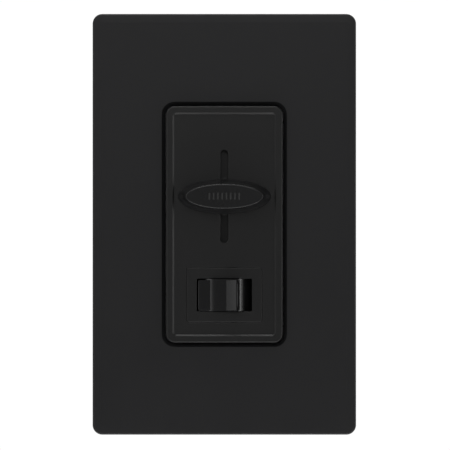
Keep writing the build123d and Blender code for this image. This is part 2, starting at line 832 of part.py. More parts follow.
with BuildPart() as slider_knob:
    for rise, flare in flank_sections:
        with BuildSketch(front_plane(knob_back - rise * knob_height)):
            with Locations((0, slider_centre)):
                Ellipse(
                    (knob_top_width + flare * flare_width) / 2,
                    (knob_top_height + flare * flare_height) / 2,
                )
    loft()
    fillet(slider_knob.faces().sort_by(Axis.Y)[0].edges(), 0.4)
    with BuildSketch(front_plane(knob_front + 0.2)):
        with GridLocations(grip_rib_pitch, 1, grip_rib_count, 1):
            with Locations((0, slider_centre)):
                SlotOverall(1.9, 0.4, rotation=90)
    extrude(amount=0.38)
    with BuildSketch(front_plane(knob_back)):
        with Locations((0, slider_centre)):
            Rectangle(2 * stem_half_width + 0.04, 2 * stem_narrow + 0.04)
    extrude(amount=knob_back - stem_end + 0.05, mode=Mode.SUBTRACT)
    for side in (-1, 1):
        x_low, x_high = sorted((side * 3.2, side * 9.2))
        z_low, z_high = slider_centre - 1.9, slider_centre + 1.9
        block(x_low, x_high, knob_front + 1.8, knob_back, z_low, z_high, mode=Mode.SUBTRACT)

slider_knob.part.label = "slider_knob"
export_step(slider_knob.part, "parts/slider_knob.step")

carriage_front = panel_back + 0.15
carriage_back = carriage_front + 2.1
socket_back = strap_front - 0.6
lever_tip = carriage_back - 0.6

blade_thickness = 0.7
blade_half_width = slot_width / 2 + 1.0
blade_reach = slot_length / 2 + 0.1

with BuildPart() as slider_carriage:
    block(
        -carriage_width / 2,
        carriage_width / 2,
        carriage_front,
        carriage_back,
        slider_centre - carriage_length / 2,
        slider_centre + carriage_length / 2,
    )
    block(-2.2, 2.2, carriage_back, socket_back, slider_centre - 3.6, slider_centre + 3.6)
    with BuildSketch(front_plane(carriage_front)):
        with Locations((0, slider_centre)):
            SlotOverall(stem_length, 2 * stem_half_width, rotation=90)
    extrude(amount=carriage_front - stem_shoulder)
    block(
        -stem_half_width,
        stem_half_width,
        stem_end,
        stem_shoulder,
        slider_centre - stem_narrow,
        slider_centre + stem_narrow,
    )
    block(
        -lever_width / 2 - 0.04,
        lever_width / 2 + 0.04,
        lever_tip - 0.1,
        socket_back,
        slider_centre - lever_length / 2 - 0.04,
        slider_centre + lever_length / 2 + 0.04,
        mode=Mode.SUBTRACT,
    )

    # A thin blade, above and below, keeps light and dust out of the slot
    blade_root = carriage_length / 2 - 0.5
    blade_back = carriage_front + blade_thickness
    for side in (-1, 1):
        blade_ends = (slider_centre + side * blade_root, slider_centre + side * blade_reach)
        z_low = min(blade_ends)
        z_high = max(blade_ends)
        block(-blade_half_width, blade_half_width, carriage_front, blade_back, z_low, z_high)

slider_carriage.part.label = "slider_carriage"
export_step(slider_carriage.part, "parts/slider_carriage.step")

# ---------------------------------------------------------------- slide potentiometer

pot_half = pot_length / 2
pot_inner = pot_width / 2 - pot_sheet
wiper_half = 4.0
wiper_back = 6.3
track_front = board_front - 1.0
can_leg_x = (pot_width - pot_sheet) / 2
can_leg_z = pot_half - 3.5
can_legs_at = [(sx * can_leg_x, sz * can_leg_z) for sx in (-1, 1) for sz in (-1, 1)]
pot_pins_at = [(1.8, pot_half - 2.0), (-1.8, pot_half - 2.0), (0, -pot_half + 2.0)]

with BuildPart() as pot_can:
    block(
        -pot_width / 2,
        pot_width / 2,
        pot_front,
        board_front - 0.02,
        slider_centre - pot_half,
        slider_centre + pot_half,
    )
    block(
        -pot_inner,
        pot_inner,
        pot_front + pot_sheet,
        board_front - 0.02,
        slider_centre - pot_half + pot_sheet,
        slider_centre + pot_half - pot_sheet,
        mode=Mode.SUBTRACT,
    )
    with BuildSketch(front_plane(pot_front + pot_sheet)):
        with Locations((0, slider_centre)):
            Rectangle(lever_width + 0.5, slider_travel + lever_length + 1.0)
    extrude(amount=pot_sheet, mode=Mode.SUBTRACT)
    for x_leg, z_leg in can_legs_at:
        x_low, x_high = x_leg - pot_sheet / 2, x_leg + pot_sheet / 2
        z_mid = slider_centre + z_leg
        block(x_low, x_high, board_front - 0.1, lead_end, z_mid - 0.7, z_mid + 0.7)

pot_can.part.label = "pot_can"
export_step(pot_can.part, "parts/pot_can.step")

with BuildPart() as pot_track_board:
    block(
        -pot_inner + 0.1,
        pot_inner - 0.1,
        track_front,
        board_front - 0.05,
        slider_centre - pot_half + pot_sheet + 0.1,
        slider_centre + pot_half - pot_sheet - 0.1,
    )
    for x_pin, z_pin in pot_pins_at:
        rod_y(x_pin, slider_centre + z_pin, track_front, board_front, lead_radius + 0.03, mode=Mode.SUBTRACT)

pot_track_board.part.label = "pot_track_board"
export_step(pot_track_board.part, "parts/pot_track_board.step")

with BuildPart() as pot_pins:
    for x_pin, z_pin in pot_pins_at:
        rod_y(x_pin, slider_centre + z_pin, track_front - 0.3, lead_end, lead_radius)

pot_pins.part.label = "pot_pins"
export_step(pot_pins.part, "parts/pot_pins.step")

with BuildPart() as pot_lever:
    block(
        -pot_inner + 0.3,
        pot_inner - 0.3,
        pot_front + pot_sheet + 0.3,
        wiper_back,
        slider_centre - wiper_half,
        slider_centre + wiper_half,
    )
    block(
        -lever_width / 2,
        lever_width / 2,
        lever_tip,
        pot_front + pot_sheet + 0.3,
        slider_centre - lever_length / 2,
        slider_centre + lever_length / 2,
    )

pot_lever.part.label = "pot_lever"
export_step(pot_lever.part, "parts/pot_lever.step")

with BuildPart() as pot_wiper_contacts:
    block(-2.4, 2.4, wiper_back + 0.01, wiper_back + 0.25, slider_centre - 3.2, slider_centre + 3.2)
    for side in (-1, 1):
        for end in (-1, 1):
            x_mid = side * 1.5
            z_low, z_high = sorted((slider_centre + end * 3.2, slider_centre + end * 2.6))
            block(x_mid - 0.6, x_mid + 0.6, wiper_back + 0.1, track_front - 0.25, z_low, z_high)

pot_wiper_contacts.part.label = "pot_wiper_contacts"
export_step(pot_wiper_contacts.part, "parts/pot_wiper_contacts.step")

# ---------------------------------------------------------------- triac on the strap

pad_thickness = 0.25
tab_sheet = 1.3
triac_half = 5.1
triac_lead_y = 2.9

with BuildPart() as triac_insulating_pad:
    block(
        triac_x - triac_half - 0.1,
        triac_x + triac_half + 0.1,
        0.01,
        pad_thickness,
        triac_bottom - 0.5,
        triac_bottom + 16.2,
    )
    rod_y(triac_x, triac_hole_z, 0, pad_thickness, 1.6, mode=Mode.SUBTRACT)

triac_insulating_pad.part.label = "triac_insulating_pad"
export_step(triac_insulating_pad.part, "parts/triac_insulating_pad.step")

with BuildPart() as triac_tab:
    block(
        triac_x - triac_half,
        triac_x + triac_half,
        pad_thickness + 0.01,
        pad_thickness + tab_sheet,
        triac_bottom,
        triac_bottom + 15.6,
    )
    rod_y(triac_x, triac_hole_z, pad_thickness, pad_thickness + tab_sheet, 1.7, mode=Mode.SUBTRACT)

triac_tab.part.label = "triac_tab"
export_step(triac_tab.part, "parts/triac_tab.step")

with BuildPart() as triac_body:
    block(
        triac_x - triac_half,
        triac_x + triac_half,
        pad_thickness + tab_sheet + 0.01,
        4.7,
        triac_bottom,
        triac_bottom + 9.0,
    )
    chamfer(triac_body.faces().sort_by(Axis.Y)[-1].edges(), 0.4)
    for step in (-1, 0, 1):
        x_mid = triac_x + step * triac_lead_pitch
        block(
            x_mid - 0.42,
            x_mid + 0.42,
            triac_lead_y - 0.27,
            triac_lead_y + 0.27,
            triac_bottom,
            triac_bottom + 2.0,
            mode=Mode.SUBTRACT,
        )

triac_body.part.label = "triac_body"
export_step(triac_body.part, "parts/triac_body.step")

with BuildPart() as triac_leads:
    for step in (-1, 0, 1):
        x_mid = triac_x + step * triac_lead_pitch
        block(
            x_mid - 0.4,
            x_mid + 0.4,
            triac_lead_y - 0.25,
            triac_lead_y + 0.25,
            triac_lead_z - 0.25,
            triac_bottom + 1.95,
        )
        block(x_mid - 0.4, x_mid + 0.4, triac_lead_y, lead_end, triac_lead_z - 0.25, triac_lead_z + 0.25)

triac_leads.part.label = "triac_leads"
export_step(triac_leads.part, "parts/triac_leads.step")

nut_front = pad_thickness + tab_sheet + 0.01
nut_height = 2.4

with BuildPart() as triac_screw:
    rod_y(triac_x, triac_hole_z, strap_front - 1.8, strap_front, 2.75)
    rod_y(triac_x, triac_hole_z, strap_front, nut_front + nut_height + 0.6, 1.5)
    fillet(triac_screw.edges().filter_by(GeomType.CIRCLE).group_by(Axis.Y)[0], 0.8)
    block(
        triac_x - 3,
        triac_x + 3,
        strap_front - 1.9,
        strap_front - 1.0,
        triac_hole_z - 0.4,
        triac_hole_z + 0.4,
        mode=Mode.SUBTRACT,
    )

triac_screw.part.label = "triac_screw"
export_step(triac_screw.part, "parts/triac_screw.step")

with BuildPart() as triac_nut:
    with BuildSketch(front_plane(nut_front + nut_height)):
        with Locations((triac_x, triac_hole_z)):
            RegularPolygon(2.75, 6, major_radius=False)
            Circle(1.53, mode=Mode.SUBTRACT)
    extrude(amount=nut_height)

triac_nut.part.label = "triac_nut"
export_step(triac_nut.part, "parts/triac_nut.step")

# ---------------------------------------------------------------- parts on the back of the board

choke_x = -4.5
choke_z = 14.0
core_outer = 8.7
core_inner = 4.7
core_front = rear_start + 0.9
core_depth = 7.0
winding_wall = 0.8
choke_leads_at = [(choke_x - 3.0, choke_z - 6.5), (choke_x - 3.0, choke_z + 6.5)]
filter_z = -8.0
filter_half = (9.0, 4.0)
filter_depth = 12.0
filter_leads_at = [(-7.5, filter_z), (7.5, filter_z)]
timing_at = [(10.5, -18.0), (10.5, -24.5)]
timing_leads_at = [(x + side * 2.5, z) for x, z in timing_at for side in (-1, 1)]
resistors_at = [(-10.0, -16.6), (-10.0, -20.5), (-10.0, -24.4)]
resistor_span = 4.6
resistor_leads_at = [(x + side * resistor_span, z) for x, z in resistors_at for side in (-1, 1)]
diac_at = (10.0, 1.0)
diac_span = 3.4
diac_leads_at = [(diac_at[0] + side * diac_span, diac_at[1]) for side in (-1, 1)]

with BuildPart() as choke_core:
    rod_y(choke_x, choke_z, core_front, core_front + core_depth, core_outer)
    rod_y(choke_x, choke_z, core_front, core_front + core_depth, core_inner, mode=Mode.SUBTRACT)
    fillet(choke_core.edges().filter_by(GeomType.CIRCLE), 0.6)

choke_core.part.label = "choke_core"
export_step(choke_core.part, "parts/choke_core.step")

with BuildPart() as choke_winding:
    rod_y(
        choke_x,
        choke_z,
        core_front - winding_wall,
        core_front + core_depth + winding_wall,
        core_outer + winding_wall,
    )
    rod_y(
        choke_x,
        choke_z,
        core_front - winding_wall,
        core_front + core_depth + winding_wall,
        core_inner - winding_wall,
        mode=Mode.SUBTRACT,
    )
    fillet(choke_winding.edges().filter_by(GeomType.CIRCLE), 1.0)
    for x_lead, z_lead in choke_leads_at:
        rod_y(x_lead, z_lead, lead_start, core_front, 0.45)
    with BuildSketch(front_plane(core_front + core_depth + 0.04)):
        with Locations((choke_x, choke_z)):
            Circle(core_outer + 0.04)
            Circle(core_inner - 0.04, mode=Mode.SUBTRACT)
    extrude(amount=core_depth + 0.08, mode=Mode.SUBTRACT)

choke_winding.part.label = "choke_winding"
export_step(choke_winding.part, "parts/choke_winding.step")

with BuildPart() as filter_capacitor:
    block(
        -filter_half[0],
        filter_half[0],
        rear_start,
        rear_start + filter_depth,
        filter_z - filter_half[1],
        filter_z + filter_half[1],
    )
    fillet(filter_capacitor.edges(), 0.5)
    for x_lead, z_lead in filter_leads_at:
        rod_y(x_lead, z_lead, lead_start, rear_start + 0.1, lead_radius)

filter_capacitor.part.label = "filter_capacitor"
export_step(filter_capacitor.part, "parts/filter_capacitor.step")

with BuildPart() as timing_capacitors:
    for x_mid, z_mid in timing_at:
        block(x_mid - 3.6, x_mid + 3.6, board_back + 0.3, board_back + 6.8, z_mid - 1.5, z_mid + 1.5)
    fillet(timing_capacitors.edges(), 0.4)
    for x_lead, z_lead in timing_leads_at:
        rod_y(x_lead, z_lead, lead_start, board_back + 0.4, lead_radius)

timing_capacitors.part.label = "timing_capacitors"
export_step(timing_capacitors.part, "parts/timing_capacitors.step")

resistor_y = board_back + 1.6

with BuildPart() as resistors:
    for x_mid, z_mid in resistors_at:
        rod_x(x_mid - 3.1, x_mid + 3.1, resistor_y, z_mid, 1.2)
    fillet(resistors.edges().filter_by(GeomType.CIRCLE), 0.4)
    for x_mid, z_mid in resistors_at:
        rod_x(x_mid - resistor_span, x_mid + resistor_span, resistor_y, z_mid, 0.26)
    for x_lead, z_lead in resistor_leads_at:
        rod_y(x_lead, z_lead, lead_start, resistor_y + 0.3, 0.32)

resistors.part.label = "resistors"
export_step(resistors.part, "parts/resistors.step")

with BuildPart() as diac:
    rod_x(diac_at[0] - 2.0, diac_at[0] + 2.0, resistor_y, diac_at[1], 0.95)
    rod_x(diac_at[0] - diac_span, diac_at[0] + diac_span, resistor_y, diac_at[1], 0.24)
    for x_lead, z_lead in diac_leads_at:
        rod_y(x_lead, z_lead, lead_start, resistor_y + 0.28, 0.3)

diac.part.label = "diac"
export_step(diac.part, "parts/diac.step")

# ---------------------------------------------------------------- circuit board

tongue_half = 2.0
tongue_x = (recess_floor, recess_floor + 1.0)
small_holes_at = (
    [(x, slider_centre + z) for x, z in pot_pins_at]
    + filter_leads_at
    + timing_leads_at
    + resistor_leads_at
    + diac_leads_at
)
board_notch_x = board_width / 2 - (housing_screw_x - housing_boss - 0.3)
board_notch_z = board_height / 2 - (housing_screw_z - housing_boss - 0.3)

with BuildPart() as circuit_board:
    with BuildSketch(front_plane(board_back)):
        Rectangle(board_width, board_height)
        for sx in (-1, 1):
            for sz in (-1, 1):
                notch_x = sx * (board_width - board_notch_x) / 2
                notch_z = sz * (board_height - board_notch_z) / 2
                with Locations((notch_x, notch_z)):
                    Rectangle(board_notch_x, board_notch_z, mode=Mode.SUBTRACT)
        with Locations(small_holes_at):
            Circle(lead_hole, mode=Mode.SUBTRACT)
        with Locations(choke_leads_at):
            Circle(0.6, mode=Mode.SUBTRACT)
        with Locations([(triac_x + step * triac_lead_pitch, triac_lead_z) for step in (-1, 0, 1)]):
            Circle(0.6, mode=Mode.SUBTRACT)
        with Locations([(x, slider_centre + z) for x, z in can_legs_at]):
            Rectangle(0.8, 1.7, mode=Mode.SUBTRACT)
        with Locations([(x, rocker_centre) for x in (-anvil_x, 0, anvil_x)]):
            Rectangle(1.0, 1.8, mode=Mode.SUBTRACT)
        with Locations([(side * (tongue_x[0] + 0.5), z) for side, z in terminals_at]):
            Rectangle(1.2, 2 * tongue_half + 0.2, mode=Mode.SUBTRACT)
    extrude(amount=board_thickness)

circuit_board.part.label = "circuit_board"
export_step(circuit_board.part, "parts/circuit_board.step")

# ---------------------------------------------------------------- back housing

recess_half = 5.5
recess_front = terminal_depth - recess_half
recess_back = terminal_depth + recess_half
housing_inside = housing_depth - housing_wall

with BuildPart() as back_housing:
    with BuildSketch(front_plane(housing_depth)):
        RectangleRounded(housing_width, housing_height, 3.0)
    extrude(amount=housing_depth - 0.02)
    fillet(back_housing.faces().sort_by(Axis.Y)[-1].edges(), 1.2)
    with BuildSketch(front_plane(housing_inside)):
        RectangleRounded(housing_width - 2 * housing_wall, housing_height - 2 * housing_wall, 1.5)
    extrude(amount=housing_inside, mode=Mode.SUBTRACT)
    for x_screw, z_screw in housing_screws_at:
        rod_y(x_screw, z_screw, 0.02, housing_inside + 0.2, housing_boss)
    for side in (-1, 1):
        for z_rib in (-23.5, 0, 24.0):
            rib_inner = board_width / 2 - 0.8
            rib_outer = housing_width / 2 - housing_wall + 0.1
            x_low, x_high = sorted((side * rib_inner, side * rib_outer))
            block(x_low, x_high, board_back + 0.05, housing_inside + 0.1, z_rib - 1.5, z_rib + 1.5)
    for side, z_mid in terminals_at:
        half = recess_half + housing_wall
        x_low, x_high = sorted((side * (recess_floor - housing_wall), side * (housing_width / 2 - 0.2)))
        block(x_low, x_high, recess_front - housing_wall, housing_inside + 0.1, z_mid - half, z_mid + half)
        x_low, x_high = sorted((side * recess_floor, side * (housing_width / 2 + 1)))
        block(
            x_low,
            x_high,
            recess_front,
            recess_back,
            z_mid - recess_half,
            z_mid + recess_half,
            mode=Mode.SUBTRACT,
        )
        x_low, x_high = sorted((side * (recess_floor - housing_wall - 1), side * (recess_floor + 0.1)))
        rod_x(x_low, x_high, terminal_depth, z_mid, 2.2, mode=Mode.SUBTRACT)
        x_low, x_high = sorted((side * (recess_floor - 0.1), side * (recess_floor + 1.1)))
        block(
            x_low,
            x_high,
            recess_front - housing_wall - 0.1,
            recess_front + 0.1,
            z_mid - tongue_half - 0.1,
            z_mid + tongue_half + 0.1,
            mode=Mode.SUBTRACT,
        )
    for x_screw, z_screw in housing_screws_at:
        rod_y(x_screw, z_screw, 0, housing_depth + 0.1, housing_screw_radius + 0.1, mode=Mode.SUBTRACT)
        rod_y(x_screw, z_screw, housing_depth - 1.8, housing_depth + 0.1, 2.45, mode=Mode.SUBTRACT)

back_housing.part.label = "back_housing"
export_step(back_housing.part, "parts/back_housing.step")

with BuildPart() as housing_screws:
    for x_screw, z_screw in housing_screws_at:
        rod_y(x_screw, z_screw, housing_depth - 1.78, housing_depth - 0.3, 2.2)
        rod_y(x_screw, z_screw, strap_front + 0.1, housing_depth - 1.78, housing_screw_radius)
    for x_screw, z_screw in housing_screws_at:
        for across, along in ((0.35, 1.6), (1.6, 0.35)):
            block(
                x_screw - across,
                x_screw + across,
                housing_depth - 1.1,
                housing_depth,
                z_screw - along,
                z_screw + along,
                mode=Mode.SUBTRACT,
            )

housing_screws.part.label = "housing_screws"
export_step(housing_screws.part, "parts/housing_screws.step")

with BuildPart() as terminal_plates:
    for side, z_mid in terminals_at:
        x_low, x_high = sorted((side * (recess_floor + 0.02), side * (recess_floor + 1.0)))
        z_low, z_high = z_mid - recess_half + 0.3, z_mid + recess_half - 0.3
        block(x_low, x_high, recess_front + 0.3, recess_back - 0.3, z_low, z_high)
        block(x_low, x_high, board_front - 0.5, recess_front + 0.4, z_mid - tongue_half, z_mid + tongue_half)
        rod_x(x_low, x_high, terminal_depth, z_mid, 1.95, mode=Mode.SUBTRACT)

terminal_plates.part.label = "terminal_plates"
export_step(terminal_plates.part, "parts/terminal_plates.step")

with BuildPart() as terminal_screws:
    for side, z_mid in terminals_at:
        x_low, x_high = sorted((side * (recess_floor + 1.4), side * (recess_floor + 3.4)))
        rod_x(x_low, x_high, terminal_depth, z_mid, 3.9)
        x_low, x_high = sorted((side * (recess_floor - 2.6), side * (recess_floor + 1.4)))
        rod_x(x_low, x_high, terminal_depth, z_mid, 1.9)
        x_low, x_high = sorted((side * (recess_floor + 2.5), side * (recess_floor + 3.5)))
        block(
            x_low,
            x_high,
            terminal_depth - 0.5,
            terminal_depth + 0.5,
            z_mid - 4.0,
            z_mid + 4.0,
            mode=Mode.SUBTRACT,
        )

terminal_screws.part.label = "terminal_screws"
export_step(terminal_screws.part, "parts/terminal_screws.step")

with BuildPart() as rating_label:
    with BuildSketch(front_plane(housing_depth + 0.2)):
        RectangleRounded(26.0, 38.0, 1.5)
    extrude(amount=0.19)

rating_label.part.label = "rating_label"
export_step(rating_label.part, "parts/rating_label.step")
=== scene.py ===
# %% [markdown]
# # A black slide dimmer, finished in Blender
# The parts of the dimmer come from a CAD model. This script gives them their finishes, adds the
# pieces whose detail is too fine for CAD, and sets up a small studio around them. The cells
# run from top to bottom. Everything is in metres, with X to the right, Z up and the front facing -Y.

import math

import bmesh
import bpy
import numpy as np
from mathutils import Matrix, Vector


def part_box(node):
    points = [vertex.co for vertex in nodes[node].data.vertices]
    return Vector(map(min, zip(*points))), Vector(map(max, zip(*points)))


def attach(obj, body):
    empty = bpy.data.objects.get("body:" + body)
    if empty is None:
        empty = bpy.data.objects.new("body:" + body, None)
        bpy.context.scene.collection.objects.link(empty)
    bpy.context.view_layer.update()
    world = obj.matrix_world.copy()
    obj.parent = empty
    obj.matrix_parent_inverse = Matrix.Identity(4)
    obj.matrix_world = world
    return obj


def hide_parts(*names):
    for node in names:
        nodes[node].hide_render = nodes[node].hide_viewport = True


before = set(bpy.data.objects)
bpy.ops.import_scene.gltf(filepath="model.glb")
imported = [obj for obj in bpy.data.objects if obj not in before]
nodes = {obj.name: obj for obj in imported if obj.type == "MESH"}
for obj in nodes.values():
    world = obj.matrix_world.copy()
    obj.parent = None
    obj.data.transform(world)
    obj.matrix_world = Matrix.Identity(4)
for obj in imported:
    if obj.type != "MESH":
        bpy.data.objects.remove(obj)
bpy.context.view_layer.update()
mm = 0.001


# %% [markdown]
# ## Camera
# The dimmer is seen square on. A long lens from most of a metre away keeps the plate's sides
# parallel, as a catalogue picture does. The frame is 127.5 mm wide at the plate's front, so the
# plate fills a little under six tenths of it. The camera stands a fifth of a millimetre to the right
# of the plate's centre and as far below it, so the plate is just off the middle of the picture.

# %% Camera
frame_width = 127.5 * mm
off_centre = 0.19 * mm
plate_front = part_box("wallplate_cover")[0][1]
camera_data = bpy.data.cameras.new("camera")
camera_data.lens = 200
camera_data.sensor_width = 36
camera = bpy.data.objects.new("camera", camera_data)
bpy.context.scene.collection.objects.link(camera)
distance = frame_width * camera_data.lens / camera_data.sensor_width
camera.location = (off_centre, plate_front - distance, -off_centre)
camera.rotation_euler = (math.radians(90), 0, 0)
camera_data.clip_start = 0.01
camera_data.clip_end = 20
bpy.context.scene.camera = camera
print("camera is", round(distance, 3), "m in front of the plate")

# %% [markdown]
# ## Node helpers
# A material is a graph of nodes. Two small helpers keep the graphs short to read: one adds a node
# and sets its values, the other starts a node group with named inputs and outputs. A group is a
# reusable effect: it is built once and placed in each material with that material's own values.

# %% Node helpers
def add(tree, kind, values=None, **settings):
    """Add a node; settings are its properties and values are its unlinked sockets."""
    node = tree.nodes.new(kind)
    for key, value in settings.items():
        setattr(node, key, value)
    for key, value in (values or {}).items():
        node.inputs[key].default_value = value
    return node


def new_group(name, inputs, outputs):
    """Start a shader node group with float inputs and float or colour outputs."""
    group = bpy.data.node_groups.new(name, "ShaderNodeTree")
    for label, default in inputs.items():
        socket = group.interface.new_socket(label, in_out="INPUT", socket_type="NodeSocketFloat")
        socket.default_value = default
    for label, kind in outputs.items():
        group.interface.new_socket(label, in_out="OUTPUT", socket_type=kind)
    return group, add(group, "NodeGroupInput"), add(group, "NodeGroupOutput")


def maths(tree, operation, a, b=None, clamp=False):
    """A Math node; a and b are sockets or numbers."""
    node = add(tree, "ShaderNodeMath", operation=operation, use_clamp=clamp)
    for index, value in enumerate((a, b)):
        if value is None:
            continue
        if isinstance(value, (int, float)):
            node.inputs[index].default_value = value
        else:
            tree.links.new(value, node.inputs[index])
    return node.outputs[0]


def remap(tree, value, from_low, from_high, to_low, to_high):
    """A Map Range node, clamped."""
    node = add(
        tree,
        "ShaderNodeMapRange",
        {"From Min": from_low, "From Max": from_high, "To Min": to_low, "To Max": to_high},
    )
    tree.links.new(value, node.inputs["Value"])
    return node.outputs["Result"]


print("helpers ready")

# %% [markdown]
# ## Moulded grain
# A moulding copies the surface of its steel tool, which is spark eroded to a fine sand-like grain
# so that it hides fingerprints. Real grain is a field of shallow pits some tenths of a millimetre
# apart, with broad patches where the tool is a little smoother. Two noise textures on object
# coordinates give both: a fine one for the height of the surface and a broad one for its gloss.

# %% Node group: moulded grain
grain_group, source, sink = new_group(
    "moulded_grain",
    {"Grains per metre": 3500.0, "Patches per metre": 60.0},
    {"Height": "NodeSocketFloat", "Patches": "NodeSocketFloat"},
)
place = add(grain_group, "ShaderNodeTexCoord")
fine = add(grain_group, "ShaderNodeTexNoise", {"Detail": 2.0, "Roughness": 0.55})
broad = add(grain_group, "ShaderNodeTexNoise", {"Detail": 3.0, "Roughness": 0.6})
for texture, rate in ((fine, "Grains per metre"), (broad, "Patches per metre")):
    grain_group.links.new(place.outputs["Object"], texture.inputs["Vector"])
    grain_group.links.new(source.outputs[rate], texture.inputs["Scale"])
grain_group.links.new(fine.outputs["Fac"], sink.inputs["Height"])
grain_group.links.new(remap(grain_group, broad.outputs["Fac"], 0.3, 0.7, 0.0, 1.0), sink.inputs["Patches"])
print("group", grain_group.name)

# %% [markdown]
# ## Worn edges
# Corners are rubbed first, so the edge of a plastic part is a little glossier and paler than its
# flats. The Bevel node gives the normal that a rounded edge would have. Where that differs from the
# true normal there is an edge, so one minus their dot product makes a mask of the edges.

# %% Node group: worn edges
edge_group, source, sink = new_group("worn_edges", {"Width": 0.0004}, {"Edge": "NodeSocketFloat"})
rounded = add(edge_group, "ShaderNodeBevel", samples=4)
edge_group.links.new(source.outputs["Width"], rounded.inputs["Radius"])
surface = add(edge_group, "ShaderNodeNewGeometry")
likeness = add(edge_group, "ShaderNodeVectorMath", operation="DOT_PRODUCT")
edge_group.links.new(rounded.outputs["Normal"], likeness.inputs[0])
edge_group.links.new(surface.outputs["Normal"], likeness.inputs[1])
edge_group.links.new(
    remap(edge_group, likeness.outputs["Value"], 0.98, 0.75, 0.0, 1.0), sink.inputs["Edge"]
)
print("group", edge_group.name)

# %% [markdown]
# ## Rolled and brushed metal
# Sheet metal keeps fine lines from the rolling mill or the brush. Stretching a noise texture a
# hundredfold along one axis turns its spots into such lines. The lines vary the gloss more than
# the height, so they go to both, faintly.

# %% Node group: drawn lines
line_group, source, sink = new_group(
    "drawn_lines",
    {"Across X": 4000.0, "Across Y": 4000.0, "Across Z": 60.0},
    {"Lines": "NodeSocketFloat", "Stains": "NodeSocketFloat"},
)
place = add(line_group, "ShaderNodeTexCoord")
stretch = add(line_group, "ShaderNodeVectorMath", operation="MULTIPLY")
rates = add(line_group, "ShaderNodeCombineXYZ")
for axis in "XYZ":
    line_group.links.new(source.outputs[f"Across {axis}"], rates.inputs[axis])
line_group.links.new(place.outputs["Object"], stretch.inputs[0])
line_group.links.new(rates.outputs["Vector"], stretch.inputs[1])
lines = add(line_group, "ShaderNodeTexNoise", {"Scale": 1.0, "Detail": 3.0})
stains = add(line_group, "ShaderNodeTexNoise", {"Scale": 180.0, "Detail": 4.0, "Roughness": 0.65})
line_group.links.new(stretch.outputs["Vector"], lines.inputs["Vector"])
line_group.links.new(place.outputs["Object"], stains.inputs["Vector"])
line_group.links.new(lines.outputs["Fac"], sink.inputs["Lines"])
line_group.links.new(remap(line_group, stains.outputs["Fac"], 0.35, 0.7, 0.0, 1.0), sink.inputs["Stains"])
print("group", line_group.name)

# %% [markdown]
# ## Plastics
# One function makes every moulded plastic. The body colour is mixed towards a paler one on rubbed
# edges, gloss changes with the patches and the edges, and the fine grain drives a bump. Each
# plastic has its own grain size, depth and gloss.

# %% Plastic maker
def colour_mix(tree, mask, first, second):
    """Mix two colours, each a socket or an RGB triple, by a mask."""
    node = add(tree, "ShaderNodeMix", data_type="RGBA")
    tree.links.new(mask, node.inputs[0])
    for index, colour in ((6, first), (7, second)):
        if isinstance(colour, tuple):
            node.inputs[index].default_value = (*colour, 1)
        else:
            tree.links.new(colour, node.inputs[index])
    return node.outputs[2]


def new_material(name):
    """A material with a Principled shader; returns the material, its tree and the shader."""
    material = bpy.data.materials.new(name)
    material.use_nodes = True
    return material, material.node_tree, material.node_tree.nodes["Principled BSDF"]


def use_group(tree, group, **values):
    """Place a node group, with its inputs set; underscores stand for spaces."""
    node = add(tree, "ShaderNodeGroup", node_tree=group)
    for key, value in values.items():
        node.inputs[key.replace("_", " ")].default_value = value
    return node


def set_bump(tree, shader, height, depth):
    """Drive the shader's normal from a height, with depth in metres."""
    bump = add(tree, "ShaderNodeBump", {"Distance": depth, "Strength": 1.0})
    tree.links.new(height, bump.inputs["Height"])
    tree.links.new(bump.outputs["Normal"], shader.inputs["Normal"])


def shade_of(colour, amount):
    """A colour times an amount, kept within white."""
    return tuple(min(1.0, amount * part) for part in colour)


micron = 0.001 * mm
worn_gloss = 0.12


def plastic(name, body, rubbed, gloss, grains, depth=12 * micron):
    """Moulded plastic. gloss is its smoothest and roughest roughness, grains is per metre."""
    material, tree, shader = new_material(name)
    grain = use_group(tree, grain_group, Grains_per_metre=grains)
    edges = use_group(tree, edge_group)
    tint = colour_mix(tree, grain.outputs["Patches"], body, shade_of(body, 0.86))
    tree.links.new(colour_mix(tree, edges.outputs["Edge"], tint, rubbed), shader.inputs["Base Color"])
    rough = remap(tree, grain.outputs["Patches"], 0, 1, gloss[0], gloss[1])
    worn = maths(tree, "MULTIPLY", edges.outputs["Edge"], worn_gloss)
    tree.links.new(maths(tree, "SUBTRACT", rough, worn, clamp=True), shader.inputs["Roughness"])
    set_bump(tree, shader, grain.outputs["Height"], depth)
    return material


finishes = {
    "cover": plastic(
        "cover_black", (0.0125, 0.0125, 0.0135), (0.02, 0.02, 0.021), (0.42, 0.5), 3000, 14 * micron
    ),
    "bezel": plastic(
        "bezel_black", (0.012, 0.012, 0.012), (0.02, 0.02, 0.02), (0.36, 0.44), 4200, 6 * micron
    ),
    "rocker": plastic(
        "rocker_black", (0.0105, 0.0105, 0.011), (0.015, 0.015, 0.015), (0.2, 0.28), 5000, 3 * micron
    ),
    "inner_black": plastic("inner_black", (0.016, 0.016, 0.016), (0.022, 0.022, 0.022), (0.45, 0.6), 3000),
    "housing": plastic(
        "housing_black", (0.009, 0.009, 0.0095), (0.02, 0.02, 0.02), (0.42, 0.58), 2200, 30 * micron
    ),
    "acetal": plastic("natural_acetal", (0.62, 0.6, 0.53), (0.7, 0.68, 0.6), (0.3, 0.42), 4000, 4 * micron),
    "epoxy": plastic(
        "moulded_epoxy", (0.016, 0.016, 0.017), (0.04, 0.04, 0.04), (0.5, 0.65), 6000, 10 * micron
    ),
}
print("plastics:", sorted(finishes))
